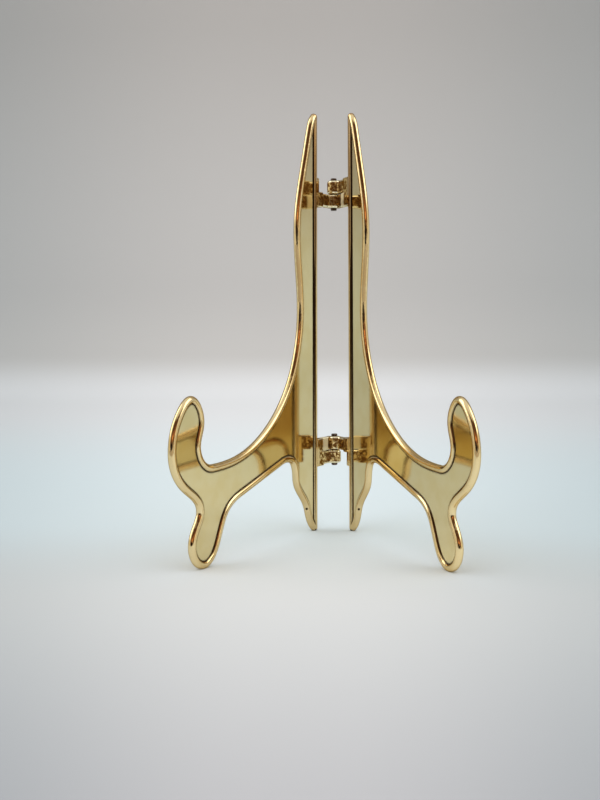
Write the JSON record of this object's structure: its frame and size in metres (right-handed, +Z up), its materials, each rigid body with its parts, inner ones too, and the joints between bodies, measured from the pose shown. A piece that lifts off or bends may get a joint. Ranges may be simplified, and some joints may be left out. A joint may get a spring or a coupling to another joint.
{
  "type": "display easel",
  "caption": "Folding cast brass plate easel: mirror-image flat sides on a pinned back hinge, with front hooks that hold a plate's rim and tall uprights that it leans on.",
  "frame": {"origin": "on the floor, under the middle of the open easel's bounding box", "axes": "+Z up, -Y towards the front, where the hooks are, +X to the right as seen from the front"},
  "size_m": [0.1242, 0.1199, 0.2014],
  "materials": {
    "cast_brass": "polished, lacquered, with a dark line where the panel meets the rim",
    "pin_steel": "dark oxidised"
  },
  "bodies": {
    "left_half": {"left_frame": "cast_brass", "upper_hinge_pin": "pin_steel", "lower_hinge_pin": "pin_steel"},
    "right_half": {"right_frame": "cast_brass"}
  },
  "joints": [
    {"name": "fold", "type": "hinge", "parent": "left_half", "child": "right_half", "pos_m": [0, 0.05648, 0.10132], "axis": [0, -0.0052, -1], "range_deg": [0, 54]}
  ]
}
